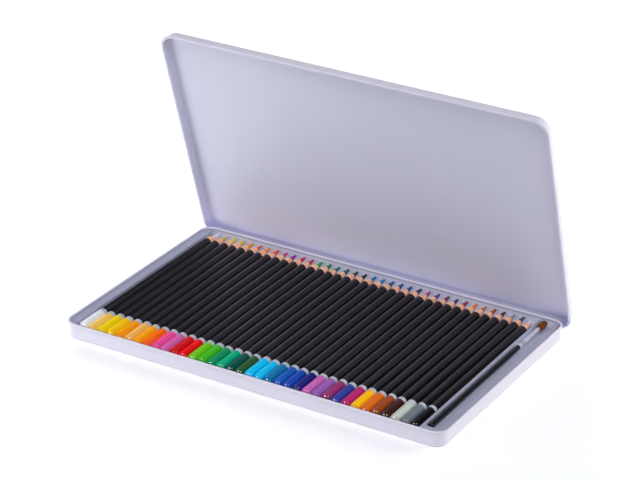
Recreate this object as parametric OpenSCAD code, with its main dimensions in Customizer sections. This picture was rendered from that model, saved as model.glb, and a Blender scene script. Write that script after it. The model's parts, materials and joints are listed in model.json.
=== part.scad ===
// Colored pencil tin: a flat steel tin with a hinged lid, a formed plastic
// tray, thirty-six round colored pencils and one slim watercolour brush.
// Units are millimetres. X runs along the tin, Y from the capped pencil ends
// (front) to the points (hinge side), Z up from the surface the tin rests on.

/* [Tin] */
// Length of the base along X, outside of the wall
tin_w = 293.4; // [292.8:0.1:294]
// Depth of the base along Y, outside of the wall
tin_d = 180; // [179.8:0.1:180.6]
// Height of the base, to the top of its rolled rim
tin_h = 12.15; // [12.1:0.05:12.2]
// Thickness of the steel sheet
sheet = 0.35; // [0.3:0.05:0.4]
// Radius of the upright corners of the base
corner_r = 8.5; // [8.3:0.1:8.7]
// Radius of the bottom edge of the base
foot_r = 1.6; // [1.4:0.1:1.8]
// Radius of the rolled rim of the base
rim_r = 0.85; // [0.7:0.05:0.85]

/* [Lid] */
// Gap between the wall of the base and the inside of the lid's skirt
lid_gap = 1.7; // [1.66:0.02:1.76]
// How much wider the lid is at each side (mm)
lid_side = 0.3; // [0.2:0.05:0.4]
// Height of the lid's skirt
lid_h = 8.05; // [8.05:0.05:8.2]
// Height of the skirt's lower edge above the table with the lid closed
lid_z = 4.9; // [4.9:0.05:5]
// Radius of the edge between the lid's panel and its skirt
lid_edge_r = 1.7; // [1.5:0.1:1.7]
// Radius of the rolled edge of the lid
hem_r = 0.95; // [0.85:0.05:1]
// Angle of the lid, open from the closed position
lid_open = 71.6; // [0:0.1:120]

/* [Hinges] */
// Distance of each hinge from the middle of the tin
hinge_x = 92; // [70:1:110]
// Length of the lid's knuckle
knuckle_len = 14; // [10:1:18]
// Length of each of the two base knuckles
base_knuckle_len = 8; // [6:1:10]
// Outside radius of the knuckles
knuckle_r = 1.2; // [1.15:0.05:1.2]
// Radius of the hinge pin
pin_r = 0.75; // [0.7:0.01:0.76]

/* [Tray] */
// Thickness of the tray's plastic sheet
tray_t = 0.5; // [0.4:0.05:0.5]
// Height of the top of the tray's flange above the table
tray_z = 11.1; // [11:0.05:11.2]
// Gap between the tray and the inside of the tin
tray_gap = 0.35; // [0.35:0.05:0.45]

/* [Pencils] */
// Radius of a pencil's barrel
barrel_r = 3.5; // [3.4:0.05:3.5]
// Radius over the dipped cap
cap_r = 3.55; // [3.5:0.05:3.55]
// Whole length of a pencil
pencil_len = 175; // [170:1:175]
// Length of the dipped cap
cap_len = 23.1; // [20:0.1:26]
// Width of the ring between cap and barrel
ring_len = 3; // [2:0.1:4]
// Length of the sharpened end
cone_len = 16; // [14:0.5:20]
// Distance between the middles of two pencils
pitch = 7.4; // [7.4:0.02:7.44]

/* [Brush] */
// Radius of the handle at its free end
handle_r = 2.3; // [2.1:0.05:2.3]
// Radius of the handle where the ferrule begins
neck_r = 1.8; // [1.7:0.05:1.9]
// Radius of the ferrule over the handle
ferrule_r = 1.75; // [1.7:0.05:1.8]
// Length of the hair beyond the ferrule
hair_len = 12; // [10:0.5:12]

/* [Hidden] */
$fn = 96;
PENCILS = 36;

// the lid's outside half sizes and corner
lid_hx = tin_w / 2 + lid_gap + lid_side + sheet;
lid_hy = tin_d / 2 + lid_gap + sheet;
lid_corner = corner_r + lid_gap + sheet;
lid_top = lid_z + lid_h;

// the hinge axis, just outside of the lid's rear skirt
axis_y = lid_hy + 0.87;
axis_z = 4.05;
hinge_notch = 0.5;          // the skirt is cut away over the base's knuckles
hinge_gap = 0.4;
hinge_half = knuckle_len / 2 + hinge_gap + base_knuckle_len;

// the pencils' row
row_x = -5.15;              // middle of the row
row_z = 8.62;               // height of the pencils' axes
cap_y = -87.2;              // rounded ends of the caps
groove_r = cap_r + 0.32;    // grooves under the pencils
groove_top = 6.6;           // flats between the grooves
function pencil_x(i) = row_x + (i - (PENCILS + 1) / 2) * pitch;
slip = 0.3;                 // how far a pencil lies ahead or behind
function pencil_y(i) = cap_y + slip * sin(137.5 * i);
last_short = 1.8;           // the last pencil is a little shorter

// the tray's wells
well_x0 = pencil_x(1) - 4.65;
well_x1 = pencil_x(PENCILS) + 4.55;
well_y0 = -88.2;
well_y1 = 88.6;
trough_x0 = 130.9;
trough_x1 = 142.4;
trough_y0 = -84;

// the brush
brush_x = 133.65;
brush_z = 9.45;
handle_y0 = -81.4;
ferrule_y0 = 44.6;
ferrule_y1 = 75.7;

// colours: cap, then lead
CAPS = [
  "whitesmoke", "wheat", "gold", "goldenrod", "darkorange", "sandybrown",
  "orange", "orangered", "hotpink", "orchid", "crimson", "red",
  "yellowgreen", "limegreen", "seagreen", "mediumseagreen", "darkslategray", "darkolivegreen",
  "deepskyblue", "dodgerblue", "steelblue", "royalblue", "mediumblue", "midnightblue",
  "violet", "mediumorchid", "mediumvioletred", "darkslateblue", "deeppink", "orange",
  "chocolate", "sienna", "saddlebrown", "silver", "slategray", "black"];

// ---------------------------------------------------------------- helpers
// a plate with rounded corners, its half sizes hx by hy
module plate(hx, hy, r, h) {
  linear_extrude(height = h) union() {
    square([2 * hx - 2 * r, 2 * hy], center = true);
    square([2 * hx, 2 * hy - 2 * r], center = true);
    for (sx = [-1, 1]) for (sy = [-1, 1])
      translate([sx * (hx - r), sy * (hy - r)]) circle(r = r);
  }
}

// carries a wall section (its outside face on x = 0) around a rounded
// rectangle: four straight runs and four quarter turns
module around(hx, hy, r) {
  for (q = [0:3]) rotate([0, 0, 90 * q]) {
    a = q % 2 == 0 ? hx : hy;
    b = q % 2 == 0 ? hy : hx;
    translate([a, -(b - r), 0]) rotate([90, 0, 180]) mirror([1, 0, 0])
      linear_extrude(height = 2 * (b - r)) children(0);
    translate([a - r, b - r, 0]) rotate_extrude(angle = 90)
      translate([r, 0]) children(0);
  }
}

// a quarter ring in the lower right of its centre
module quarter(ro, ri) {
  intersection() {
    difference() { circle(r = ro); circle(r = ri); }
    translate([0, -ro - 1]) square([ro + 1, ro + 1]);
  }
}

// ---------------------------------------------------------------- tin
// wall of the base: floor edge, foot radius, wall, rolled rim
module base_section() {
  translate([-corner_r, 0]) square([corner_r - foot_r, sheet]);
  translate([-foot_r, foot_r]) quarter(foot_r, foot_r - sheet);
  translate([-sheet, foot_r]) square([sheet, tin_h - rim_r - foot_r]);
  translate([rim_r - sheet, tin_h - rim_r]) circle(r = rim_r, $fn = 48);
}

// one knuckle, its bore along X
module knuckle(len, bore) {
  rotate([90, 0, 90]) difference() {
    cylinder(h = len, r = knuckle_r, center = true);
    cylinder(h = len + 2, r = bore, center = true);
  }
}

module base_hinge(x) {
  for (s = [-1, 1]) {
    kx = x + s * (knuckle_len / 2 + hinge_gap + base_knuckle_len / 2);
    translate([kx, axis_y, axis_z]) knuckle(base_knuckle_len, pin_r + 0.01);
    // strap under the lid's skirt
    translate([kx - base_knuckle_len / 2, tin_d / 2 - 0.2, axis_z - knuckle_r + 0.06])
      cube([base_knuckle_len, axis_y - tin_d / 2 + 0.2, 0.3]);
  }
  // leaf on the back wall
  translate([x - hinge_half, tin_d / 2 - 0.2, axis_z - knuckle_r + 0.06])
    cube([2 * hinge_half, 0.6, 4.6]);
}

module tin_base() {
  color([0.87, 0.86, 0.93]) union() {
    around(tin_w / 2, tin_d / 2, corner_r) base_section();
    translate([-tin_w / 2 + corner_r, -tin_d / 2 + corner_r, 0])
      cube([tin_w - 2 * corner_r, tin_d - 2 * corner_r, sheet]);
    base_hinge(-hinge_x);
    base_hinge(hinge_x);
  }
}

// ---------------------------------------------------------------- lid
// wall of the lid, closed: panel edge, edge radius, skirt
module lid_section() {
  translate([-lid_corner, lid_top - sheet]) square([lid_corner - lid_edge_r, sheet]);
  translate([-lid_edge_r, lid_top - lid_edge_r]) mirror([0, 1]) quarter(lid_edge_r, lid_edge_r - sheet);
  translate([-sheet, lid_z]) square([sheet, lid_h - lid_edge_r]);
}

// rolled edge of the skirt
module hem_section() {
  translate([hem_r - sheet, lid_z + hem_r]) circle(r = hem_r, $fn = 48);
}

module lid_closed() {
  union() {
    difference() {
      around(lid_hx, lid_hy, lid_corner) lid_section();
      for (s = [-1, 1], e = [-1, 1])
        translate([s * hinge_x + e * (hinge_half + knuckle_len / 2 + 1.1) / 2 - (hinge_half - knuckle_len / 2 + 0.9) / 2, lid_hy - 2, lid_z - 1])
          cube([hinge_half - knuckle_len / 2 + 0.9, 4, 1 + hinge_notch]);
    }
    translate([-lid_hx + lid_corner, -lid_hy + lid_corner, lid_top - sheet])
      cube([2 * (lid_hx - lid_corner), 2 * (lid_hy - lid_corner), sheet]);
    // the rolled edge stops short of each hinge
    difference() {
      around(lid_hx, lid_hy, lid_corner) hem_section();
      for (s = [-1, 1])
        translate([s * hinge_x - hinge_half - 1, lid_hy - 2, lid_z - 1])
          cube([2 * hinge_half + 2, 5, 2 * hem_r + 2]);
    }
    for (s = [-1, 1]) {
      // plain lower edge at the hinge
      translate([s * hinge_x - hinge_half - 1, lid_hy - sheet, lid_z + hinge_notch])
        cube([2 * hinge_half + 2, sheet, 2 * hem_r - hinge_notch]);
      translate([s * hinge_x, axis_y, axis_z]) knuckle(knuckle_len, pin_r + 0.05);
      // strap of the lid's knuckle
      translate([s * hinge_x - knuckle_len / 2, lid_hy - 0.2, axis_z + pin_r + 0.1])
        cube([knuckle_len, axis_y - lid_hy + 0.2, 0.3]);
    }
  }
}

module tin_lid() {
  color([0.8, 0.8, 0.88])
    translate([0, axis_y, axis_z]) rotate([-lid_open, 0, 0])
      translate([0, -axis_y, -axis_z]) lid_closed();
}

// ---------------------------------------------------------------- hinge pins
module hinge_pin(x) {
  translate([x, axis_y, axis_z]) rotate([0, 90, 0]) {
    cylinder(h = 2 * hinge_half, r = pin_r, center = true, $fn = 48);
    for (s = [-1, 1])
      translate([0, 0, s * (hinge_half + 0.25)])
        cylinder(h = 0.5, r = knuckle_r - 0.1, center = true, $fn = 48);
  }
}

module hinge_pin_left() { color("silver") hinge_pin(-hinge_x); }
module hinge_pin_right() { color("silver") hinge_pin(hinge_x); }

// ---------------------------------------------------------------- tray
tray_hx = tin_w / 2 - sheet - tray_gap;
tray_hy = tin_d / 2 - sheet - tray_gap;
tray_corner = corner_r - sheet - tray_gap;
tray_foot = 1.35;

// points along one groove, left to right, at radius r, cut off at height top
GROOVE_STEPS = 7;
function groove(i, r, top) =
  let (a = asin((row_z - top) / r), span = 180 - 2 * a)
  [for (k = [0:GROOVE_STEPS])
    let (f = 180 + a + span * k / GROOVE_STEPS)
    [pencil_x(i) + r * cos(f), row_z + r * sin(f)]];

function reversed(v) = [for (k = [len(v) - 1:-1:0]) v[k]];

// section of the pencils' well, from flange to ridge
module well_section() {
  upper = concat(
    [[well_x0 - 0.01, tray_z]],
    [for (i = [1:PENCILS]) each groove(i, groove_r, groove_top)],
    [[well_x1 + 0.01, tray_z]]);
  lower = concat(
    [[well_x0 - tray_t, tray_z]],
    [for (i = [1:PENCILS]) each groove(i, groove_r + tray_t, groove_top - tray_t)],
    [[well_x1 + tray_t, tray_z]]);
  polygon(concat(upper, reversed(lower)));
}

// section of the brush's trough
module trough_section() {
  upper = [[trough_x0, tray_z], [trough_x0 + 0.35, 8.6], [trough_x0 + 1.5, 6.75],
           [trough_x0 + 4.9, 6.65], [trough_x0 + 6.3, 7.1], [trough_x1, tray_z]];
  lower = [[trough_x0 - tray_t, tray_z], [trough_x0 - 0.15, 8.4], [trough_x0 + 1.2, 6.25],
           [trough_x0 + 4.9, 6.12], [trough_x0 + 6.6, 6.65], [trough_x1 + 0.9, tray_z]];
  polygon(concat(upper, reversed(lower)));
}

// extrudes an XZ section from y0 to y1
module along_y(y0, y1) {
  translate([0, y1, 0]) rotate([90, 0, 0]) linear_extrude(height = y1 - y0) children(0);
}

module pencil_tray() {
  color([0.6, 0.61, 0.68]) union() {
    // flange and its outer skirt
    difference() {
      translate([0, 0, tray_foot]) plate(tray_hx, tray_hy, tray_corner, tray_z - tray_foot);
      translate([0, 0, tray_foot - 1])
        plate(tray_hx - tray_t, tray_hy - tray_t, tray_corner - tray_t, tray_z - tray_foot + 1 - tray_t);
      translate([well_x0, well_y0, tray_z - 2]) cube([well_x1 - well_x0, well_y1 - well_y0, 4]);
      translate([trough_x0, trough_y0, tray_z - 2]) cube([trough_x1 - trough_x0, well_y1 - trough_y0, 4]);
    }
    // wells
    along_y(well_y0 - tray_t / 2, well_y1 + tray_t / 2) well_section();
    along_y(trough_y0 - tray_t / 2, well_y1 + tray_t / 2) trough_section();
    // end walls
    for (e = [well_y0 - tray_t, well_y1])
      translate([well_x0 - 0.1, e, row_z - groove_r - tray_t + 0.05])
        cube([well_x1 - well_x0 + 0.2, tray_t, tray_z - row_z + groove_r + tray_t - 0.05 - 0.1]);
    for (e = [trough_y0 - tray_t, well_y1])
      translate([trough_x0 - 0.1, e, 6.15])
        cube([trough_x1 - trough_x0 + 0.2, tray_t, tray_z - 6.15 - 0.1]);
  }
}

// ---------------------------------------------------------------- pencils
// half outline of a pencil: x is the radius, y the distance from the cap's end
dome = 2.1;
module pencil_section(len, cap) {
  square([cap_r - dome, cap]);
  translate([0, dome]) square([cap_r, cap - dome]);
  intersection() {
    translate([cap_r - dome, dome]) circle(r = dome, $fn = 48);
    square([cap_r + 1, cap]);
  }
  translate([0, cap - 1]) square([barrel_r, len - cone_len - cap + 1]);
  // sharpened end, its point worn round
  polygon([[0, len - cone_len - 1], [barrel_r, len - cone_len - 1],
           [barrel_r, len - cone_len], [0.75, len - 0.9], [0.45, len - 0.2], [0, len]]);
}

module pencil(i) {
  color(CAPS[i - 1])
    translate([pencil_x(i), pencil_y(i), row_z]) rotate([-90, 0, 0])
      rotate_extrude() pencil_section(
        pencil_len - (i == PENCILS ? last_short : 0),
        cap_len + (i == PENCILS ? last_short / 2 : 0));
}

module pencil_01() { pencil(1); }
module pencil_02() { pencil(2); }
module pencil_03() { pencil(3); }
module pencil_04() { pencil(4); }
module pencil_05() { pencil(5); }
module pencil_06() { pencil(6); }
module pencil_07() { pencil(7); }
module pencil_08() { pencil(8); }
module pencil_09() { pencil(9); }
module pencil_10() { pencil(10); }
module pencil_11() { pencil(11); }
module pencil_12() { pencil(12); }
module pencil_13() { pencil(13); }
module pencil_14() { pencil(14); }
module pencil_15() { pencil(15); }
module pencil_16() { pencil(16); }
module pencil_17() { pencil(17); }
module pencil_18() { pencil(18); }
module pencil_19() { pencil(19); }
module pencil_20() { pencil(20); }
module pencil_21() { pencil(21); }
module pencil_22() { pencil(22); }
module pencil_23() { pencil(23); }
module pencil_24() { pencil(24); }
module pencil_25() { pencil(25); }
module pencil_26() { pencil(26); }
module pencil_27() { pencil(27); }
module pencil_28() { pencil(28); }
module pencil_29() { pencil(29); }
module pencil_30() { pencil(30); }
module pencil_31() { pencil(31); }
module pencil_32() { pencil(32); }
module pencil_33() { pencil(33); }
module pencil_34() { pencil(34); }
module pencil_35() { pencil(35); }
module pencil_36() { pencil(36); }

// ---------------------------------------------------------------- brush
// turns a half outline (x radius, y along the brush) onto the brush's axis
module on_brush() {
  translate([brush_x, 0, brush_z]) rotate([-90, 0, 0]) rotate_extrude() children(0);
}

// wooden handle, its spigot inside the ferrule
module brush_handle() {
  color([0.08, 0.08, 0.09]) on_brush()
    polygon([[0, handle_y0], [handle_r - 0.8, handle_y0], [handle_r - 0.25, handle_y0 + 0.3],
             [handle_r, handle_y0 + 0.9], [handle_r - 0.15, -40], [handle_r - 0.2, 0],
             [handle_r - 0.2, 30], [neck_r, ferrule_y0], [1.35, ferrule_y0],
             [1.25, ferrule_y0 + 12], [0, ferrule_y0 + 12]]);
}

// tapered metal tube with two crimps
module brush_ferrule() {
  color([0.8, 0.8, 0.84]) on_brush()
    polygon([[1.37, ferrule_y0], [ferrule_r, ferrule_y0], [ferrule_r, ferrule_y0 + 2.6],
             [ferrule_r - 0.2, ferrule_y0 + 3], [ferrule_r - 0.2, ferrule_y0 + 3.6],
             [ferrule_r, ferrule_y0 + 4], [ferrule_r, ferrule_y0 + 5],
             [ferrule_r - 0.2, ferrule_y0 + 5.4], [ferrule_r - 0.2, ferrule_y0 + 6],
             [ferrule_r, ferrule_y0 + 6.4], [1.4, ferrule_y1], [1.1, ferrule_y1],
             [1.15, ferrule_y0 + 12.3], [1.27, ferrule_y0 + 12]]);
}

// hair: its root inside the ferrule, a full belly and a rounded point
module brush_hair() {
  color([0.4, 0.22, 0.12]) on_brush()
    polygon([[0, ferrule_y1 - 5], [1.0, ferrule_y1 - 5], [1.05, ferrule_y1 + 0.02],
             [1.5, ferrule_y1 + 0.5], [1.95, ferrule_y1 + 1.8], [2.2, ferrule_y1 + 4],
             [2.2, ferrule_y1 + 5.6], [1.9, ferrule_y1 + 8], [1.3, ferrule_y1 + 10],
             [0.5, ferrule_y1 + hair_len - 0.4], [0, ferrule_y1 + hair_len]]);
}

// ---------------------------------------------------------------- assembly
tin_base();
tin_lid();
hinge_pin_left();
hinge_pin_right();
pencil_tray();
pencil_01();
pencil_02();
pencil_03();
pencil_04();
pencil_05();
pencil_06();
pencil_07();
pencil_08();
pencil_09();
pencil_10();
pencil_11();
pencil_12();
pencil_13();
pencil_14();
pencil_15();
pencil_16();
pencil_17();
pencil_18();
pencil_19();
pencil_20();
pencil_21();
pencil_22();
pencil_23();
pencil_24();
pencil_25();
pencil_26();
pencil_27();
pencil_28();
pencil_29();
pencil_30();
pencil_31();
pencil_32();
pencil_33();
pencil_34();
pencil_35();
pencil_36();
brush_handle();
brush_ferrule();
brush_hair();
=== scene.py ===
import json
import math

import bmesh
import bpy
from mathutils import Matrix, Vector, noise

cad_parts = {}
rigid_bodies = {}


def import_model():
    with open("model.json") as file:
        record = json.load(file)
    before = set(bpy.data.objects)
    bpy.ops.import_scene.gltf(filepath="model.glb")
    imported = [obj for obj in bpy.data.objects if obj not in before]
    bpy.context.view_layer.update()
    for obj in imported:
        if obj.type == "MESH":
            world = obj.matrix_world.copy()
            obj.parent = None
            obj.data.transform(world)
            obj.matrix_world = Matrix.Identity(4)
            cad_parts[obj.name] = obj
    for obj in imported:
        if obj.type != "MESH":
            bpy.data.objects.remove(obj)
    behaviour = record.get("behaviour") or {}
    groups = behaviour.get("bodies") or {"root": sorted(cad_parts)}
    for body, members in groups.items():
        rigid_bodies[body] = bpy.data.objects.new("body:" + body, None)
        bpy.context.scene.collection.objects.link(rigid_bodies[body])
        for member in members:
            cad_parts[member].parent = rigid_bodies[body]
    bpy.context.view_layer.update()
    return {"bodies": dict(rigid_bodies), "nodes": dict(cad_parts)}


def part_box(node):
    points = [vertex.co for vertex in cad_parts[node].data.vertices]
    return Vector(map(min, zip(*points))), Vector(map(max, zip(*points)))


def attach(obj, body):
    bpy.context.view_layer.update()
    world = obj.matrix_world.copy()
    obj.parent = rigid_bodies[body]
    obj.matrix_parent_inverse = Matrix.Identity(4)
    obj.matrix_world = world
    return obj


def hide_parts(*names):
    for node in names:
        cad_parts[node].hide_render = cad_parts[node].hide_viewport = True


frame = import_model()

NODES, BODIES = frame["nodes"], frame["bodies"]
SCENE = bpy.context.scene
MM = 0.001


# ------------------------------------------------------------------ colours
def lin(r, g, b):
    """sRGB 0..255 to linear RGBA."""
    def f(c):
        c /= 255.0
        return c / 12.92 if c <= 0.04045 else ((c + 0.055) / 1.055) ** 2.4
    return (f(r), f(g), f(b), 1.0)


def shade(c, k):
    return (min(1, c[0] * k), min(1, c[1] * k), min(1, c[2] * k), 1.0)


# dipped cap and core of each pencil
PENCILS = [
    ((228, 228, 230), (225, 222, 220)),   # white
    ((248, 210, 128), (226, 186, 110)),   # cream
    ((228, 200, 10), (226, 196, 30)),     # lemon
    ((240, 190, 10), (236, 186, 30)),     # golden yellow
    ((248, 148, 10), (238, 150, 40)),     # orange
    ((255, 194, 122), (232, 120, 90)),     # peach
    ((250, 156, 10), (236, 130, 30)),     # light orange
    ((240, 98, 12), (226, 84, 40)),       # orange red
    ((240, 108, 164), (206, 84, 120)),     # hot pink
    ((216, 126, 180), (150, 60, 140)),     # orchid
    ((200, 12, 20), (196, 18, 56)),       # dark red
    ((226, 14, 14), (204, 20, 50)),       # red
    ((110, 190, 40), (36, 164, 78)),     # yellow green
    ((74, 180, 46), (8, 120, 60)),       # leaf green
    ((0, 136, 84), (0, 106, 86)),        # green
    ((0, 164, 118), (0, 84, 76)),       # emerald
    ((4, 78, 66), (6, 46, 40)),         # dark green
    ((50, 88, 50), (20, 30, 26)),         # olive
    ((0, 182, 226), (0, 118, 168)),      # cyan
    ((0, 178, 224), (0, 112, 170)),       # sky blue
    ((0, 106, 156), (0, 84, 136)),        # teal blue
    ((30, 84, 172), (30, 70, 140)),       # blue
    ((30, 68, 164), (30, 56, 130)),       # cobalt
    ((42, 42, 114), (36, 36, 84)),        # navy
    ((200, 124, 184), (170, 90, 150)),    # pink violet
    ((158, 112, 178), (120, 66, 140)),     # purple
    ((144, 66, 110), (116, 40, 84)),      # plum
    ((68, 74, 148), (60, 50, 110)),       # blue violet
    ((174, 50, 106), (140, 30, 64)),      # crimson
    ((254, 172, 8), (226, 130, 40)),      # amber
    ((208, 100, 36), (206, 96, 44)),      # orange brown
    ((144, 70, 40), (170, 76, 48)),       # sienna
    ((60, 32, 28), (56, 32, 28)),         # dark brown
    ((186, 190, 182), (150, 150, 144)),   # light grey
    ((110, 117, 125), (70, 76, 90)),      # slate
    ((10, 9, 11), (214, 210, 208)),      # black
]


# ------------------------------------------------------------------ materials
class Mat:
    """A Principled material with object coordinates and a few helpers."""

    def __init__(self, name, base, rough=0.5, metallic=0.0, spec=0.5, coat=0.0, coat_rough=0.05, sheen=0.0):
        self.m = bpy.data.materials.new(name)
        self.m.use_nodes = True
        self.t = self.m.node_tree
        self.b = self.t.nodes["Principled BSDF"]
        self.b.inputs["Base Color"].default_value = base
        self.b.inputs["Roughness"].default_value = rough
        self.b.inputs["Metallic"].default_value = metallic
        self.b.inputs["Specular IOR Level"].default_value = spec
        self.b.inputs["Coat Weight"].default_value = coat
        self.b.inputs["Coat Roughness"].default_value = coat_rough
        if sheen:
            self.b.inputs["Sheen Weight"].default_value = sheen
        self.co = None

    def node(self, kind, **kw):
        n = self.t.nodes.new(kind)
        for k, v in kw.items():
            setattr(n, k, v)
        return n

    def link(self, a, b):
        self.t.links.new(a, b)

    def coords(self, scale=(1, 1, 1)):
        if self.co is None:
            self.co = self.node("ShaderNodeTexCoord").outputs["Object"]
        m = self.node("ShaderNodeMapping")
        m.inputs["Scale"].default_value = scale
        self.link(self.co, m.inputs["Vector"])
        return m.outputs["Vector"]

    def noise(self, scale, detail=3.0, rough=0.5, stretch=(1, 1, 1)):
        n = self.node("ShaderNodeTexNoise")
        n.inputs["Scale"].default_value = scale
        n.inputs["Detail"].default_value = detail
        n.inputs["Roughness"].default_value = rough
        self.link(self.coords(stretch), n.inputs["Vector"])
        return n.outputs["Fac"]

    def ramp(self, fac, stops):
        r = self.node("ShaderNodeValToRGB")
        e = r.color_ramp.elements
        while len(e) < len(stops):
            e.new(0.5)
        for el, (pos, col) in zip(e, stops):
            el.position = pos
            el.color = col
        self.link(fac, r.inputs["Fac"])
        return r.outputs["Color"]

    def colour(self, socket):
        self.link(socket, self.b.inputs["Base Color"])
        return self

    def rough(self, fac, lo, hi):
        n = self.node("ShaderNodeMapRange")
        n.inputs["To Min"].default_value = lo
        n.inputs["To Max"].default_value = hi
        self.link(fac, n.inputs["Value"])
        self.link(n.outputs["Result"], self.b.inputs["Roughness"])
        return self

    def bump(self, fac, strength, distance):
        n = self.node("ShaderNodeBump")
        n.inputs["Strength"].default_value = strength
        n.inputs["Distance"].default_value = distance
        self.link(fac, n.inputs["Height"])
        self.link(n.outputs["Normal"], self.b.inputs["Normal"])
        return self


def span(m, socket, a, b):
    """0 at a, 1 at b, held outside."""
    n = m.node("ShaderNodeMapRange")
    n.inputs["From Min"].default_value = a
    n.inputs["From Max"].default_value = b
    m.link(socket, n.inputs["Value"])
    return n.outputs["Result"]


def maths(m, op, a, b):
    n = m.node("ShaderNodeMath", operation=op)
    m.link(a, n.inputs[0])
    m.link(b, n.inputs[1])
    return n.outputs[0]


def enamel(name, col):
    """Satin white enamel on sheet steel: a trace of orange peel and cloudiness."""
    m = Mat(name, col, rough=0.4, spec=0.4)
    m.colour(m.ramp(m.noise(14, 2), [(0.3, shade(col, 0.985)), (0.7, shade(col, 1.01))]))
    m.rough(m.noise(60, 3), 0.36, 0.46)
    m.bump(m.noise(900, 2), 0.05, 0.0002)
    return m.m


PAINT = enamel("white_enamel", lin(218, 214, 228))
PAINT_LID = enamel("white_enamel_lid", lin(221, 218, 231))

def painted_shade_enamel(name, col, painted_shade_col):
    """The lid's enamel on its inside, with painted shade and light: bluer and darker down in the fold beside the
    hinges and low at the two ends, paler towards the bottom, darker towards the top and towards the right, all
    standing in for how light falls inside the lid.
    """
    m = Mat(name, col, rough=0.4, spec=0.4)
    xyz = m.node("ShaderNodeSeparateXYZ")
    m.link(m.coords(), xyz.inputs[0])
    ax = m.node("ShaderNodeMath", operation="ABSOLUTE")
    m.link(xyz.outputs["X"], ax.inputs[0])
    # painted shade: a bluer, darker colour low down in the fold by the hinges and low near both ends
    painted_low_shade = span(m, xyz.outputs["Z"], 0.0098, 0.0072)
    painted_end_shade = maths(m, "MULTIPLY", span(m, ax.outputs[0], 0.12, 0.146), span(m, xyz.outputs["Z"], 0.0165, 0.0085))
    mx = m.node("ShaderNodeMix", data_type="RGBA")
    m.link(maths(m, "MAXIMUM", painted_low_shade, painted_end_shade), mx.inputs[0])
    # painted light and shade: paler towards the bottom of the panel, darker towards the top
    painted_height_light = m.node("ShaderNodeMix", data_type="RGBA")
    m.link(span(m, xyz.outputs["Z"], 0.02, 0.18), painted_height_light.inputs[0])
    m.link(m.ramp(m.noise(14, 2), [(0.3, shade(col, 1.12)), (0.7, shade(col, 1.15))]), painted_height_light.inputs[6])
    m.link(m.ramp(m.noise(14, 2), [(0.3, shade(col, 0.875)), (0.7, shade(col, 0.895))]), painted_height_light.inputs[7])
    # painted shade: darker towards the right
    painted_right_shade = m.node("ShaderNodeMix", data_type="RGBA", blend_type="MULTIPLY")
    m.link(span(m, xyz.outputs["X"], -0.08, 0.13), painted_right_shade.inputs[0])
    m.link(painted_height_light.outputs[2], painted_right_shade.inputs[6])
    painted_right_shade.inputs[7].default_value = (0.9, 0.9, 0.9, 1)
    m.link(painted_right_shade.outputs[2], mx.inputs[6])
    m.link(m.ramp(m.noise(14, 2), [(0.3, shade(painted_shade_col, 0.97)), (0.7, shade(painted_shade_col, 1.02))]), mx.inputs[7])
    m.colour(mx.outputs[2])
    m.rough(m.noise(60, 3), 0.36, 0.46)
    m.bump(m.noise(900, 2), 0.05, 0.0002)
    return m.m


m = Mat("hinge_wire", lin(170, 170, 176), rough=0.35, metallic=1.0)
m.rough(m.noise(400, 3, stretch=(0.05, 1, 1)), 0.28, 0.42)
WIRE = m.m
# painted shade: a greyer copy of the lid's enamel for its outer panel, darker to hold down the strong light from
# behind
LID_OUTSIDE_PAINTED_SHADE = enamel("enamel_outside_painted_shade", lin(190, 188, 200))
# enamel for the lid's inside, with painted shade and light in its colour
LID_INSIDE_PAINTED_SHADE = painted_shade_enamel("white_enamel_painted_shade", lin(222, 219, 239), lin(156, 158, 196))


# formed grey sheet; the trough, less so towards its back, and the end wall behind the tips are painted paler, as
# painted light standing in for the light that falls there
m = Mat("tray_grey", lin(152, 154, 172), rough=0.5, spec=0.25)
xyz = m.node("ShaderNodeSeparateXYZ")
m.link(m.coords(), xyz.inputs[0])
# the painted light in the trough is full up to 30 mm along Y and half from 75 mm back
painted_light_fade = m.node("ShaderNodeMapRange")
for key, value in (("From Min", 0.03), ("From Max", 0.075), ("To Min", 1.0), ("To Max", 0.5)):
    painted_light_fade.inputs[key].default_value = value
m.link(xyz.outputs["Y"], painted_light_fade.inputs["Value"])
# painted light: mask of the trough and end wall that are painted paler
painted_light_mask = maths(m, "MULTIPLY", span(m, xyz.outputs["Z"], 0.0109, 0.0100),
              maths(m, "MAXIMUM", maths(m, "MULTIPLY", span(m, xyz.outputs["X"], 0.1295, 0.1312), painted_light_fade.outputs["Result"]),
                    span(m, xyz.outputs["Y"], 0.0835, 0.0862)))
cloud = m.ramp(m.noise(30, 3), [(0.3, lin(154, 156, 176)), (0.7, lin(160, 162, 182))])
painted_light_col = m.ramp(m.noise(45, 3), [(0.3, lin(200, 202, 222)), (0.7, lin(206, 208, 228))])
mx = m.node("ShaderNodeMix", data_type="RGBA")
m.link(painted_light_mask, mx.inputs[0])
m.link(cloud, mx.inputs[6])
m.link(painted_light_col, mx.inputs[7])
m.colour(mx.outputs[2])
m.rough(m.noise(120, 3), 0.46, 0.58)
m.bump(m.noise(700, 3), 0.1, 0.0003)
TRAY = m.m

m = Mat("black_barrel", lin(18, 14, 17), rough=0.1, spec=0.3)
m.rough(m.noise(150, 3, stretch=(1, 0.2, 1)), 0.08, 0.13)
m.bump(m.noise(500, 2, stretch=(1, 0.15, 1)), 0.05, 0.0001)
BARREL = m.m

m = Mat("silver_ring", lin(198, 202, 212), rough=0.38, metallic=0.35)
m.rough(m.noise(400, 2), 0.34, 0.44)
RING = m.m

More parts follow.
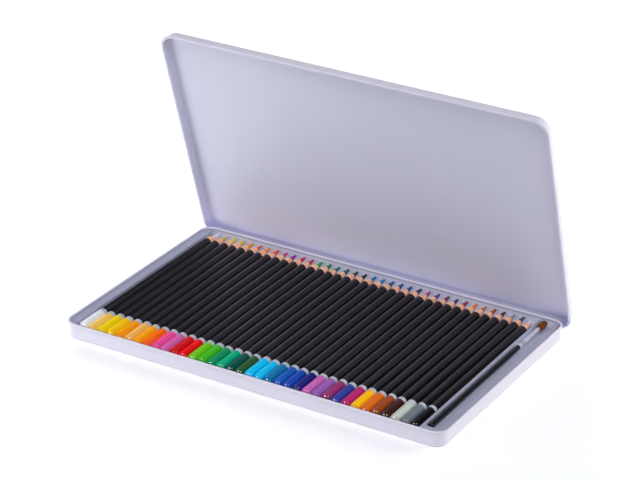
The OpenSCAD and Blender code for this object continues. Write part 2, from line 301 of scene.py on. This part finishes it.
m = Mat("cut_wood", lin(236, 176, 142), rough=0.6, spec=0.3)
m.colour(m.ramp(m.noise(900, 4, 0.6, stretch=(1, 0.06, 1)),
                [(0.28, lin(234, 158, 116)), (0.5, lin(255, 196, 154)), (0.75, lin(255, 224, 192))]))
m.bump(m.noise(1600, 3, 0.6, stretch=(1, 0.1, 1)), 0.3, 0.0001)
WOOD = m.m

m = Mat("brush_lacquer", lin(10, 8, 11), rough=0.1, spec=0.5)
m.bump(m.noise(200, 2, stretch=(1, 0.2, 1)), 0.03, 0.0001)
LACQUER = m.m

m = Mat("ferrule_metal", lin(226, 226, 234), rough=0.26, metallic=0.6)
m.rough(m.noise(300, 2, stretch=(1, 0.1, 1)), 0.22, 0.34)
FERRULE = m.m

# painted shade: a darker copy of the ferrule metal for the faces down in the crimp grooves
m = Mat("crimp_painted_shade", lin(112, 112, 122), rough=0.4, metallic=0.7)
m.rough(m.noise(300, 2, stretch=(1, 0.1, 1)), 0.34, 0.46)
CRIMP_PAINTED_SHADE = m.m

m = Mat("brown_hair", lin(126, 72, 34), rough=0.6, spec=0.15)
m.colour(m.ramp(m.noise(2600, 3, 0.6, stretch=(1, 0.03, 1)),
                [(0.25, lin(44, 20, 3)), (0.5, lin(112, 58, 10)), (0.78, lin(172, 100, 26))]))
m.bump(m.noise(3000, 3, 0.6, stretch=(1, 0.04, 1)), 0.5, 0.0002)
HAIR = m.m


def deep(c):
    """The pure paint of a strong colour: takes the grey part out, leaves greys alone."""
    g, top = min(c[:3]), max(c[:3])
    k = 0.7 * g * (top - g) / max(top, 1e-6)
    return tuple(min(1.0, (v - k) * 1.19) for v in c[:3]) + (1.0,)


def cap_material(i, rgb, end=False):
    """Dipped paint; it pools at the rounded end and is glossier there."""
    c = deep(lin(*rgb))
    if end:
        m = Mat(f"cap_end_{i:02d}", c, rough=0.08, spec=0.3, coat=1.0, coat_rough=0.08)
    else:
        m = Mat(f"cap_paint_{i:02d}", c, rough=0.06, spec=0.12)
    m.colour(m.ramp(m.noise(160, 2), [(0.3, shade(c, 0.96)), (0.7, shade(c, 1.03))]))
    m.bump(m.noise(260, 2), 0.04, 0.0001)
    return m.m


def core_material(i, rgb):
    c = deep(lin(*rgb))
    m = Mat(f"core_{i:02d}", c, rough=0.42, spec=0.3)
    m.colour(m.ramp(m.noise(900, 4), [(0.3, shade(c, 0.86)), (0.7, shade(c, 1.08))]))
    m.bump(m.noise(2400, 3), 0.2, 0.0001)
    return m.m


# ------------------------------------------------------------------ meshes
def new_object(name, bm, mats, body):
    me = bpy.data.meshes.new(name)
    bm.normal_update()
    bm.to_mesh(me)
    bm.free()
    for mt in mats:
        me.materials.append(mt)
    ob = bpy.data.objects.new(name, me)
    SCENE.collection.objects.link(ob)
    for p in me.polygons:
        p.use_smooth = True
    me.set_sharp_from_angle(angle=math.radians(35))
    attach(ob, body)
    return ob


def lathe(bm, stations, cx, cz, seg=48, wobble=None):
    """Turns stations (y, radius, material of the band that follows) about the line x = cx, z = cz, in metres."""
    rings = []
    for k, (y, r, mi) in enumerate(stations):
        if r < 1e-7:
            rings.append([bm.verts.new((cx, y, cz))])
            continue
        ring = []
        for j in range(seg):
            a = 2 * math.pi * j / seg
            dy, dr = wobble(k, a) if wobble else (0.0, 0.0)
            ring.append(bm.verts.new((cx + (r + dr) * math.cos(a), y + dy, cz + (r + dr) * math.sin(a))))
        rings.append(ring)
    for k in range(len(rings) - 1):
        a, b, mi = rings[k], rings[k + 1], stations[k][2]
        for j in range(seg):
            j2 = (j + 1) % seg
            if len(a) == 1 and len(b) == 1:
                continue
            if len(a) == 1:
                f = bm.faces.new((a[0], b[j], b[j2]))
            elif len(b) == 1:
                f = bm.faces.new((a[j], b[0], a[j2]))
            else:
                f = bm.faces.new((a[j], b[j], b[j2], a[j2]))
            f.material_index = mi
            f.smooth = True


# ------------------------------------------------------------------ pencils
def build_pencil(i):
    node = f"pencil_{i:02d}"
    lo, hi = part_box(node)
    cx, cz = (lo.x + hi.x) / 2, (lo.z + hi.z) / 2
    y0, length = lo.y, (hi.y - lo.y) / MM
    cap_rgb, core_rgb = PENCILS[i - 1]
    mats = [cap_material(i, cap_rgb), RING, BARREL, WOOD, core_material(i, core_rgb), cap_material(i, cap_rgb, True)]
    CAP, RNG, BAR, WD, CORE, END = range(6)
    cap = 23.1 if length > 174.5 else 24.0
    st = []
    # dipped, domed end
    for k in range(13):
        t = (math.pi / 2) * k / 12
        st.append((2.3 * (1 - math.cos(t)), 3.55 * math.sin(t) ** 0.82, CAP if k == 12 else END))
    st += [(8, 3.55, CAP), (16, 3.55, CAP), (cap - 0.4, 3.55, CAP), (cap - 0.1, 3.545, CAP), (cap, 3.5, RNG),
           (cap + 0.1, 3.52, RNG), (cap + 0.3, 3.53, RNG), (cap + 2.7, 3.53, RNG), (cap + 2.9, 3.52, RNG),
           (cap + 3.0, 3.48, BAR), (cap + 3.2, 3.5, BAR)]
    for s in (40, 60, 80, 100, 120, 140):
        st.append((s, 3.5, BAR))
    # painted edge of the casing, then cut wood and the core
    cone0 = length - 16.0
    st += [(cone0 - 4, 3.5, BAR), (cone0 - 0.25, 3.5, BAR), (cone0 - 0.05, 3.47, BAR), (cone0, 3.42, WD)]

    def rc(s):
        return 3.5 - 2.75 * (s - cone0) / 15.1
    for s in (1.2, 3, 5, 6.6):
        st.append((cone0 + s, rc(cone0 + s) - 0.02, WD))
    edge = cone0 + 7.3 + 0.5 * math.sin(2.3 * i)
    st += [(edge - 0.05, rc(edge) - 0.03, WD), (edge, rc(edge) - 0.09, CORE), (edge + 0.3, rc(edge) - 0.12, CORE)]
    for s in (edge + 2, edge + 4.2, length - 2.2):
        st.append((s, rc(s) - 0.08, CORE))
    tip = length - 0.6
    st += [(tip - 0.7, 0.94, CORE), (tip - 0.3, 0.84, CORE), (tip - 0.12, 0.68, CORE),
           (tip - 0.04, 0.42, CORE), (tip, 0.0, CORE)]
    # close the start on the axis
    st[0] = (0.0, 0.0, END)
    edge_k = [k for k, (s, r, mi) in enumerate(st) if edge - 0.06 <= s <= edge + 0.31]
    rim_k = [k for k, (s, r, mi) in enumerate(st) if cone0 - 0.06 <= s <= cone0 + 0.01]

    def wobble(k, a):
        if k in edge_k:
            n = noise.noise(Vector((math.cos(a) * 1.6, math.sin(a) * 1.6, i * 3.7)))
            return n * 0.5 * MM, 0.0
        if k in rim_k:
            n = noise.noise(Vector((math.cos(a) * 1.1, math.sin(a) * 1.1, i * 5.3)))
            return n * 0.35 * MM, 0.0
        return 0.0, 0.0

    bm = bmesh.new()
    lathe(bm, [(y0 + s * MM, r * MM, mi) for s, r, mi in st], cx, cz, 48, wobble)
    ob = new_object(node + "_finish", bm, mats, node + "_body")
    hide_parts(node)
    return ob


for i in range(1, 37):
    build_pencil(i)


# ------------------------------------------------------------------ formed tray
TZ, TRAY_T, TRAY_FOOT = 11.1, 0.5, 1.35
TX, TY, TC = 146.2, 89.5, 8.0          # half sizes and corner of the tray
EDGE = 0.12                            # radius of its outer edge


def pencil_x(i):
    return -5.15 + (i - 18.5) * 7.4


def table(x, pts):
    """Straight-line interpolation in a list of (x, value)."""
    if x <= pts[0][0]:
        return pts[0][1]
    for (a, va), (b, vb) in zip(pts, pts[1:]):
        if x <= b:
            return va + (vb - va) * (x - a) / (b - a)
    return pts[-1][1]


# how far down a well has come, along Y: 0 at the flange, 1 at full depth
BACK = [(85.9, 1.0), (86.4, 0.96), (86.9, 0.89), (87.4, 0.8), (87.9, 0.68), (88.25, 0.56), (88.5, 0.44),
        (88.66, 0.32), (88.74, 0.2), (88.8, 0.1), (88.85, 0.03), (88.93, 0.0), (89.15, 0.0), (89.35, 0.0)]
FRONT_ROW = [(-89.0, 0.0), (-88.62, 0.0), (-88.5, 0.03), (-88.42, 0.1), (-88.34, 0.2), (-88.22, 0.34), (-88.05, 0.47),
             (-87.8, 0.58), (-87.5, 0.67), (-87.15, 0.76), (-86.7, 0.85), (-86.2, 0.93), (-85.6, 1.0)]
FRONT_TROUGH = [(-84.5, 0.0), (-84.3, 0.04), (-84.1, 0.14), (-83.85, 0.32), (-83.5, 0.56), (-83.0, 0.8),
                (-82.4, 0.95), (-81.8, 1.0)]


def tray_columns():
    """Upper surface across the tray: (x, height at full depth, well) from left to right."""
    c = [(-145.7, TZ, 0), (-144, TZ, 0), (-142, TZ, 0), (-140.6, TZ, 0), (-139.95, TZ, 0),
         (-139.7, TZ - 0.04, 1), (-139.45, TZ - 0.18, 1), (-139.28, TZ - 0.5, 1), (-139.1, 10.1, 1), (-138.75, 8.9, 1),
         (-138.35, 7.6, 1)]
    r, cz, top = 3.87, 8.62, 6.6
    a = math.asin((cz - top) / r)
    for i in range(1, 37):
        px = pencil_x(i)
        for k in range(9):
            f = math.pi + a + (math.pi - 2 * a) * k / 8
            x, z = px + r * math.cos(f), cz + r * math.sin(f)
            if k in (0, 8):
                z -= 0.1
            c.append((x, z, 1))
        if i < 36:
            c.append((px + 3.7, top + 0.04, 1))
    c += [(128.05, 7.6, 1), (128.4, 8.9, 1), (128.72, 10.1, 1), (128.88, TZ - 0.5, 1), (129.05, TZ - 0.18, 1),
          (129.3, TZ - 0.04, 1), (129.55, TZ, 0), (130.2, TZ, 0), (130.45, TZ - 0.03, 2), (130.7, TZ - 0.17, 2),
          (130.86, TZ - 0.5, 2), (130.98, 9.7, 2), (131.25, 8.6, 2), (131.7, 7.6, 2), (132.2, 7.02, 2),
          (133.0, 6.74, 2), (134.4, 6.66, 2), (135.9, 6.68, 2), (136.8, 6.9, 2), (137.5, 7.3, 2),
          (139.0, 8.45, 2), (140.8, 9.86, 2), (141.8, 10.62, 2), (142.2, 10.88, 2), (142.6, 11.03, 2), (143.0, TZ, 0),
          (144.4, TZ, 0), (145.7, TZ, 0)]
    return c


def tray_x(x, y):
    """Draws the columns near the ends in along the rounded corners."""
    hx, hy, r = TX - EDGE, TY - EDGE, TC - EDGE
    over = abs(y) - (hy - r)
    if over <= 0:
        return x
    xm = hx - r + math.sqrt(max(0.0, r * r - over * over))
    for sign, xc in ((1, 136.0), (-1, 137.5)):
        if x * sign > xc:
            return sign * (xc + (x * sign - xc) * (xm - xc) / (hx - xc))
    return x


def tray_normal(x, y):
    """Outward direction of the tray's outline at a point of its inner edge."""
    hx, hy, r = TX - EDGE, TY - EDGE, TC - EDGE
    dx, dy = abs(x) - (hx - r), abs(y) - (hy - r)
    sx, sy = math.copysign(1, x), math.copysign(1, y)
    if dx > 1e-6 and dy > 1e-6:
        n = math.hypot(dx, dy)
        return sx * dx / n, sy * dy / n
    return (0.0, sy) if dy >= r - 1e-4 else (sx, 0.0)


def build_tray():
    cols = tray_columns()
    ys = sorted({y for y, e in BACK + FRONT_ROW + FRONT_TROUGH} | {-70.0, -40.0, 0.0, 40.0, 70.0})
    bm = bmesh.new()
    grid = []
    for y in ys:
        e1 = min(table(y, FRONT_ROW), table(y, BACK))
        e2 = min(table(y, FRONT_TROUGH), table(y, BACK))
        row = []
        for x, z, well in cols:
            e = (1.0, e1, e2)[well]
            row.append(bm.verts.new((tray_x(x, y) * MM, y * MM, (TZ - (TZ - z) * e) * MM)))
        grid.append(row)
    R, C = len(grid), len(cols)
    for j in range(R - 1):
        for i in range(C - 1):
            bm.faces.new((grid[j][i], grid[j][i + 1], grid[j + 1][i + 1], grid[j + 1][i]))
    loop = [grid[0][i] for i in range(C)] + [grid[j][C - 1] for j in range(1, R)] \
        + [grid[R - 1][i] for i in range(C - 2, -1, -1)] + [grid[j][0] for j in range(R - 2, 0, -1)]
    out = [(EDGE * math.sin(t), TZ - EDGE * (1 - math.cos(t))) for t in (0.45, 0.95, math.pi / 2)]
    out += [(EDGE, 6.0), (EDGE, TRAY_FOOT)]
    prev = loop
    for off, z in out:
        ring = []
        for v in loop:
            nx, ny = tray_normal(v.co.x / MM, v.co.y / MM)
            ring.append(bm.verts.new((v.co.x + nx * off * MM, v.co.y + ny * off * MM, z * MM)))
        for k in range(len(loop)):
            k2 = (k + 1) % len(loop)
            bm.faces.new((prev[k], ring[k], ring[k2], prev[k2]))
        prev = ring
    # underside, one sheet thickness below
    bm.normal_update()
    verts, faces = list(bm.verts), list(bm.faces)
    inward = {v: Vector((v.normal.x, v.normal.y, max(v.normal.z, 0.0))) for v in verts}
    twin = {v: bm.verts.new(v.co - inward[v] * TRAY_T * MM) for v in verts}
    for v in prev:
        twin[v].co.z = TRAY_FOOT * MM
    for f in faces:
        bm.faces.new([twin[v] for v in reversed(f.verts)])
    for k in range(len(prev)):
        k2 = (k + 1) % len(prev)
        bm.faces.new((prev[k], twin[prev[k]], twin[prev[k2]], prev[k2]))
    ob = new_object("pencil_tray_finish", bm, [TRAY], "tray")
    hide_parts("pencil_tray")
    return ob


build_tray()


# ------------------------------------------------------------------ brush
def brush_piece(node, material, stations, seg=48, wobble=None):
    lo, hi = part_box("brush_handle")
    cx, cz = (lo.x + hi.x) / 2, (lo.z + hi.z) / 2
    bm = bmesh.new()
    lathe(bm, [(y * MM, r * MM, 0) for y, r in stations], cx, cz, seg, wobble)
    ob = new_object(node + "_finish", bm, [material], "brush")
    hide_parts(node)
    return ob


H0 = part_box("brush_handle")[0].y / MM
brush_piece("brush_handle", LACQUER, [
    (H0, 0.0), (H0, 1.2), (H0 + 0.04, 1.6), (H0 + 0.16, 1.9), (H0 + 0.4, 2.12), (H0 + 0.8, 2.25), (H0 + 1.4, 2.3),
    (-60, 2.25), (-40, 2.15), (-20, 2.12), (0, 2.1), (20, 2.1), (32, 2.08), (39, 2.02), (43, 1.92), (44.4, 1.85),
    (44.56, 1.75), (44.6, 1.34), (56.0, 1.25), (56.2, 0.0)])

ring = []
for y, r in ((44.6, 1.38), (44.6, 1.66), (44.66, 1.74), (44.8, 1.76), (48.2, 1.74)):
    ring.append((y, r))
for c in (48.9, 51.3):
    ring += [(c - 0.7, 1.74), (c - 0.45, 1.7), (c - 0.2, 1.58), (c, 1.54), (c + 0.2, 1.58), (c + 0.45, 1.7), (c + 0.7, 1.74)]
ring += [(53, 1.73), (60, 1.62), (68, 1.48), (74, 1.4), (75.4, 1.38), (75.6, 1.35), (75.7, 1.28), (75.68, 1.12),
         (70, 1.13), (58, 1.2), (56.4, 1.27), (44.6, 1.37)]
ring = [p for k, p in enumerate(ring) if k == 0 or p[0] != ring[k - 1][0] or p[1] != ring[k - 1][1]]
ring[-1] = (44.62, 1.375)
FER = ring


def build_ferrule():
    """Thin tapered tube, two crimps near the handle, their grooves in a darker metal as painted shade; closed by
    joining its last ring to its first.
    """
    lo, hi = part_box("brush_handle")
    cx, cz = (lo.x + hi.x) / 2, (lo.z + hi.z) / 2
    bm = bmesh.new()
    rings, seg = [], 48
    for y, r in FER:
        rings.append([bm.verts.new((cx + r * MM * math.cos(2 * math.pi * j / seg), y * MM,
                                    cz + r * MM * math.sin(2 * math.pi * j / seg))) for j in range(seg)])
    for k in range(len(rings)):
        a, b = rings[k], rings[(k + 1) % len(rings)]
        # painted shade: faces in the crimp grooves take the darker crimp metal
        shaded = k < len(rings) - 1 and min(FER[k][1], FER[k + 1][1]) < 1.69 and 48 < FER[k][0] < 52.1 and FER[k][1] > 1.45
        for j in range(seg):
            j2 = (j + 1) % seg
            bm.faces.new((a[j], b[j], b[j2], a[j2])).material_index = 1 if shaded else 0
    ob = new_object("brush_ferrule_finish", bm, [FERRULE, CRIMP_PAINTED_SHADE], "brush")
    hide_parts("brush_ferrule")


build_ferrule()

HAIR_ST = [(70.7, 0.0), (70.7, 1.0), (75.6, 1.08), (75.75, 1.2), (76.1, 1.5), (76.7, 1.76), (77.6, 2.02), (78.8, 2.22),
           (80.2, 2.32), (81.8, 2.34), (83.4, 2.3), (84.7, 2.16), (85.7, 1.94), (86.4, 1.64), (86.95, 1.26), (87.35, 0.82),
           (87.6, 0.4), (87.68, 0.0)]


def strands(k, a):
    y, r = HAIR_ST[k]
    if y < 75.7 or r < 0.05:
        return 0.0, 0.0
    n = noise.noise(Vector((math.cos(a) * 5.5, math.sin(a) * 5.5, y * 0.06)))
    grow = min(1.0, (y - 75.6) / 2.0)
    dy = noise.noise(Vector((math.cos(a) * 4, math.sin(a) * 4, 9.1))) * (0.45 if y > 83.5 else 0.0)
    return dy * MM, n * 0.11 * grow * MM


brush_piece("brush_hair", HAIR, HAIR_ST, 72, strands)


# ------------------------------------------------------------------ CAD nodes that stay
def dress(node, material, angle=35):
    o = NODES[node]
    o.data.materials.clear()
    o.data.materials.append(material)
    for p in o.data.polygons:
        p.material_index = 0


dress("tin_base", PAINT)
dress("tin_lid", PAINT_LID)


def line_inside(o, inner, outer):
    """Gives the faces of the lid's hollow the enamel with painted shade and light, and its outer panel a darker copy
    of the enamel as painted shade.
    """
    c18, s18 = math.cos(math.radians(18.4)), math.sin(math.radians(18.4))
    panel, skirt = Vector((0, -c18, -s18)), Vector((0, -s18, c18))
    o.data.materials.append(inner)
    o.data.materials.append(outer)
    for p in o.data.polygons:
        n, c = p.normal, p.center
        side = n.x * c.x < 0 and abs(n.x) > 0.5 and n.dot(panel) > -0.2
        if n.dot(panel) > 0.2 or (n.dot(skirt) > 0.2 and c.z < 0.03) or side:
            p.material_index = 1
        elif n.dot(panel) < -0.5:
            p.material_index = 2


line_inside(NODES["tin_lid"], LID_INSIDE_PAINTED_SHADE, LID_OUTSIDE_PAINTED_SHADE)
dress("hinge_pin_left", WIRE)
dress("hinge_pin_right", WIRE)


# ------------------------------------------------------------------ studio
def plane(name, size, z, col):
    bm = bmesh.new()
    s = size / 2
    vs = [bm.verts.new(p) for p in ((-s, -s, z), (s, -s, z), (s, s, z), (-s, s, z))]
    bm.faces.new(vs)
    me = bpy.data.meshes.new(name)
    bm.to_mesh(me)
    bm.free()
    mt = Mat(name + "_paper", col, rough=0.9, spec=0.1)
    mt.b.inputs["Emission Color"].default_value = (1, 1, 1, 1)
    mt.b.inputs["Emission Strength"].default_value = 0.13
    me.materials.append(mt.m)
    ob = bpy.data.objects.new(name, me)
    SCENE.collection.objects.link(ob)
    return ob


plane("studio_floor", 14, -0.0001, (0.98, 0.98, 0.98, 1))


def area(name, az, el, dist, size, watts, col, glint=False):
    """Soft box aimed at the tin; az from the front toward the right, el above the floor. The soft boxes light the
    surfaces, the glints are what shows in the lacquer and the metal."""
    a, e = math.radians(az), math.radians(el)
    d = Vector((math.sin(a) * math.cos(e), -math.cos(a) * math.cos(e), math.sin(e)))
    li = bpy.data.lights.new(name, "AREA")
    li.shape = "RECTANGLE"
    li.size, li.size_y = size
    li.energy = watts
    li.color = col
    ob = bpy.data.objects.new(name, li)
    ob.location = d * dist
    ob.rotation_mode = "QUATERNION"
    ob.rotation_quaternion = (-d).to_track_quat("-Z", "Y")
    ob.visible_glossy = glint
    ob.visible_diffuse = not glint
    SCENE.collection.objects.link(ob)
    return ob


area("back_right", 135, 17, 2.0, (1.4, 1.0), 26.0, (1.0, 0.954, 0.797))
area("back_left", 225, 17, 2.0, (1.4, 1.0), 32.8, (0.936, 0.98, 1.0))
area("front_right", 45, 50, 2.0, (1.3, 1.2), 18.2, (0.822, 0.926, 1.0))
area("back_top", 135, 50, 2.0, (1.3, 1.2), 3.5, (0.526, 0.737, 1.0))
area("front_left", 315, 50, 2.0, (1.3, 1.2), 11.0, (1.0, 0.77, 0.715))
area("near_left", 320, 10, 0.7, (0.4, 0.1), 1.55, (0.76, 0.87, 0.86))
area("glint_left", 350, 40, 1.0, (0.2, 0.2), 7.0, (1.0, 1.0, 1.0), glint=True)
area("glint_right", 75, 45, 1.0, (0.2, 0.2), 4.0, (1.0, 1.0, 1.0), glint=True)

w = bpy.data.worlds.new("studio")
SCENE.world = w
w.use_nodes = True
bg = w.node_tree.nodes["Background"]
bg.inputs["Color"].default_value = (0.12, 0.12, 0.133, 1)
bg.inputs["Strength"].default_value = 1.0

SCENE.view_settings.view_transform = "Standard"
SCENE.view_settings.look = "None"

# ------------------------------------------------------------------ camera
AZ, EL, ROLL = math.radians(30.19), math.radians(25.73), math.radians(0.78)
back = Vector((math.sin(AZ) * math.cos(EL), -math.cos(AZ) * math.cos(EL), math.sin(EL)))
fwd = -back
right = fwd.cross(Vector((0, 0, 1))).normalized()
up = right.cross(fwd)
r2 = right * math.cos(ROLL) + up * math.sin(ROLL)
u2 = -right * math.sin(ROLL) + up * math.cos(ROLL)
target = Vector((-0.07545, 0.13456, 0))
pos = target + back * 1.8855
cam_data = bpy.data.cameras.new("camera")
cam_data.sensor_width = 36
cam_data.sensor_fit = "HORIZONTAL"
cam_data.lens = 2529.5 / 640 * 36
cam_data.clip_start, cam_data.clip_end = 0.05, 60
cam = bpy.data.objects.new("camera", cam_data)
cam.matrix_world = Matrix((
    (r2.x, u2.x, back.x, pos.x),
    (r2.y, u2.y, back.y, pos.y),
    (r2.z, u2.z, back.z, pos.z),
    (0, 0, 0, 1)))
SCENE.collection.objects.link(cam)
SCENE.camera = cam
